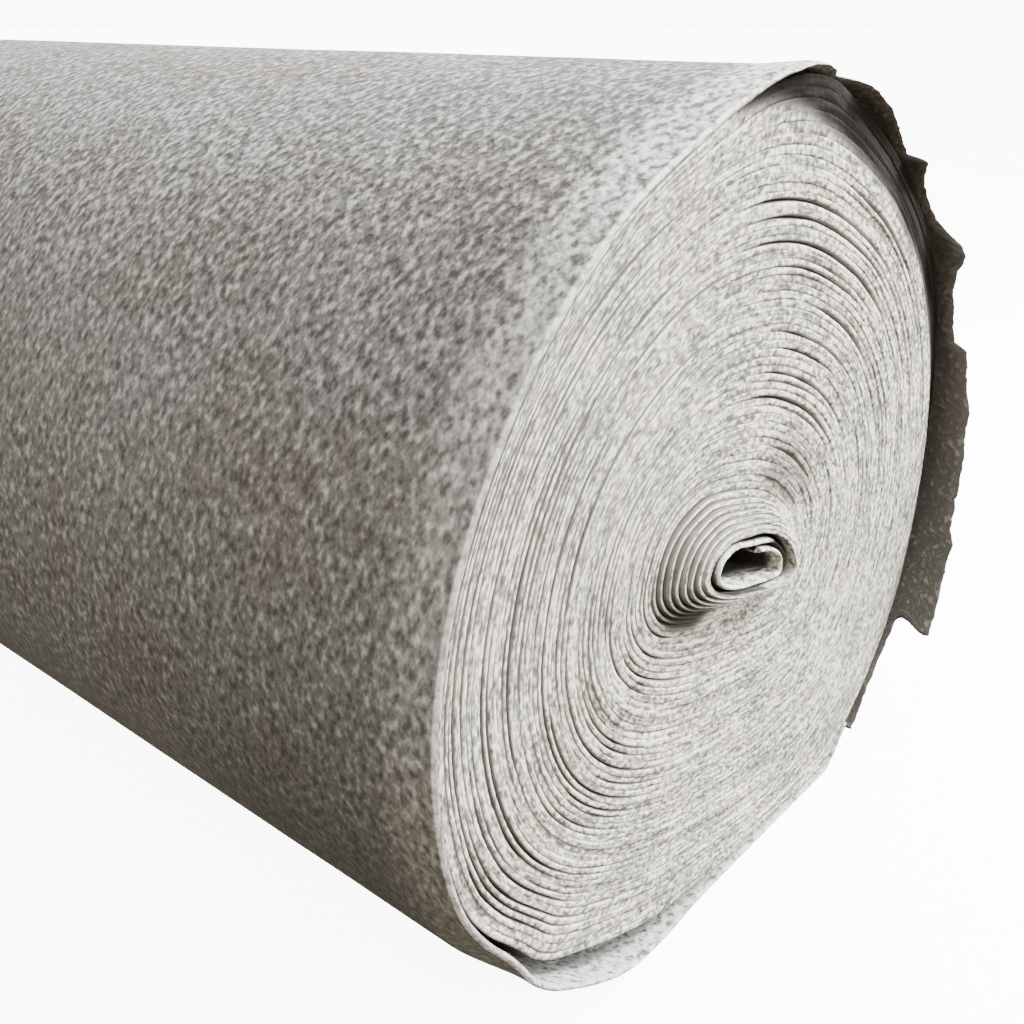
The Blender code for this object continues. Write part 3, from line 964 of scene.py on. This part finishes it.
def makeInnerCurl(material):
    first, last = curlRows[0][0], curlRows[-1][0]
    columns, nearStations = innerCurl["columns"], innerCurl["nearStations"]
    angles = [first] + [first + (last - first) * i / columns for i in range(columns + 1)] + [last]
    stations = [-roll["width"] + innerCurl["farGap"], *innerCurl["farStations"]]
    for i in range(1, nearStations + 1):
        stations.append(innerCurl["reach"] * (1 - (1 - i / nearStations) ** innerCurl["crowding"]))
    count = len(stations)

    def middlePoint(angle, x):
        return oval(curve(curlRows, angle), angle, x)

    arcs, length = arcLengths(angles, lambda angle: middlePoint(angle, 0.0))
    print("inner end, length", round(length, 4))

    def edgeReach(angle):
        sunk = innerCurl["sunkSlope"] * ramp(angle, *innerCurl["sunkAngles"])
        sunk += innerCurl["sunk"] * ramp(angle, *innerCurl["outerLap"])
        return innerCurl["reach"] - sunk + innerCurl["fuzz"] * rough(angle, 0.0, 0.01, 2.0)

    def thickness(distance):
        thin, tip = innerCurl["thinTo"], innerCurl["tipRound"]
        thick = roll["cloth"] * (thin + (1 - thin) * ramp(distance, 0.0, innerCurl["thinLength"]))
        return thick * (tip + (1 - tip) * ramp(distance, 0.0, innerCurl["roundLength"]))

    def place(column, row):
        angle = angles[column]
        level, tip, outside = sheetRow(row, count)
        x, reach, follow = stations[level], edgeReach(angle), innerCurl["edgeFrom"]
        if x > follow:
            x = follow + (x - follow) * (reach - follow) / (innerCurl["reach"] - follow)
        distance = reach - x
        offset = thickness(distance) / 2 * (1 if outside else -1)
        if tip or column in (0, len(angles) - 1):
            offset = 0.0
            x += tip * innerCurl["tip"]
        step = middlePoint(angle + 1, x) - middlePoint(angle - 1, x)
        outward = Vector((0, -step.z, step.y)).normalized()
        point = middlePoint(angle, x) + outward * offset
        return point, (arcs[angle], x), curlMarks(angle, distance, outside)

    return bentGrid("innerCurl", len(angles) - 1, 2 * count + 2, place, material), length


photoCamera = {
    "place": (1.0128, -2.0067, 1.0885),   # from the middle of the near face, in radii
    "azimuth": 40.37,
    "elevation": 23.95,
    "lens": 39.83, "sensor": 36,
}


def makeCamera():
    data = bpy.data.cameras.new("photoCamera")
    data.lens = photoCamera["lens"]
    data.sensor_width = photoCamera["sensor"]
    camera = bpy.data.objects.new("photoCamera", data)
    camera.location = facePlace + Vector(photoCamera["place"]) * roll["radius"]
    turn = (90 - photoCamera["elevation"], 0, photoCamera["azimuth"])
    camera.rotation_euler = Euler([math.radians(angle) for angle in turn])
    bpy.context.collection.objects.link(camera)
    bpy.context.scene.camera = camera
    print("camera placed")


studio = {
    "floor": (0.90, 0.90, 0.90, 1), "floorSize": 60, "floorRoughness": 0.9, "floorGlow": 9.0,
    "keyFrom": (0.80, 1.38, 1.46), "keyPower": 175, "keySize": 0.7,
    "fillFrom": (1.80, 0.30, 0.90), "fillPower": 20, "fillSize": 0.4,
    "skyFrom": (0.22, 0.42, 0.88), "skyFade": (-0.5, 1.0), "skyLow": 0.06, "skyHigh": 2.9,
    "skyCool": (0.99, 1.0, 1.02), "skyWarm": (1.16, 0.96, 0.58),   # its colour above and below
    "warmth": (0.6, -0.25),
    "backdrop": 12.0,
}


def makeFloor():
    bpy.ops.mesh.primitive_plane_add(size=studio["floorSize"])
    floor = bpy.context.object
    floor.name = "floor"
    floor.visible_diffuse = False  # it throws no light up to the roll's dark underside
    floor.visible_glossy = False
    shop = Shop(bpy.data.materials.new("pale floor"))
    floor.data.materials.append(shop.surface({
        "Base Color": studio["floor"],
        "Roughness": studio["floorRoughness"],
        "Emission Color": (1, 1, 1, 1),
        "Emission Strength": studio["floorGlow"],
    }))


def makeSky():
    # soft light from above and behind, and a pale backdrop that only the camera sees
    world = bpy.data.worlds.new("soft studio")
    shop = Shop(world)
    nodes = shop.tree.nodes
    way = shop.node("ShaderNodeTexCoord", output="Generated")
    skyFrom = Vector(studio["skyFrom"]).normalized()
    facing = shop.node(
        "ShaderNodeVectorMath", {"operation": "DOT_PRODUCT"}, {0: way, 1: skyFrom}, "Value"
    )
    strength = shop.node("ShaderNodeMapRange", {"interpolation_type": "SMOOTHSTEP"}, {
        "Value": facing,
        "From Min": studio["skyFade"][0], "From Max": studio["skyFade"][1],
        "To Min": studio["skyLow"], "To Max": studio["skyHigh"],
    })
    warmth = shop.node("ShaderNodeMapRange", {}, {
        "Value": facing, "From Min": studio["warmth"][0], "From Max": studio["warmth"][1],
    })
    shop.plug(nodes["Background"].inputs["Strength"], strength)
    shop.plug(nodes["Background"].inputs["Color"], shop.mix(warmth, studio["skyCool"], studio["skyWarm"]))
    sky = Wire(shop, nodes["Background"].outputs[0])
    backdrop = shop.node("ShaderNodeBackground", {}, {"Strength": studio["backdrop"]})
    seen = shop.node("ShaderNodeLightPath", output="Is Camera Ray")
    either = shop.node("ShaderNodeMixShader", {}, {0: seen, 1: sky, 2: backdrop})
    shop.plug(nodes["World Output"].inputs["Surface"], either)
    bpy.context.scene.world = world


def makeLamp(name):
    data = bpy.data.lights.new(name, "AREA")
    data.size = studio[name + "Size"]
    data.energy = studio[name + "Power"]
    lamp = bpy.data.objects.new(name, data)
    lamp.location = facePlace + Vector(studio[name + "From"])
    lamp.rotation_euler = (facePlace - lamp.location).to_track_quat("-Z", "Y").to_euler()
    bpy.context.collection.objects.link(lamp)


makeCamera()
makeFloor()
makeSky()
for lampName in ("key", "fill"):
    makeLamp(lampName)
print("floor and light made")

faceMaterial = makeFaceFelt()
sideMaterial = makeSideFelt()
print("materials made")

split, lastTurn = face["split"], roll["turns"] - 1
innerTurns = makeNearTurns("nearTurnsInner", -1, split, face["innerColumns"], faceMaterial, 1)
outerTurns = makeNearTurns("nearTurnsOuter", split, lastTurn, face["outerColumns"], faceMaterial, 2)
farTurns = makeFarTurns(faceMaterial)
channel = makeChannel(faceMaterial)
for piece in (innerTurns, outerTurns, farTurns, channel):
    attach(piece, "root")
    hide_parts("wound_roll")

turn, turnLength = makeOuterTurn(sideMaterial)
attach(turn, "root")
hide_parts("loose_end")

curl, curlLength = makeInnerCurl(faceMaterial)
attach(curl, "root")
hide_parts("inner_end")
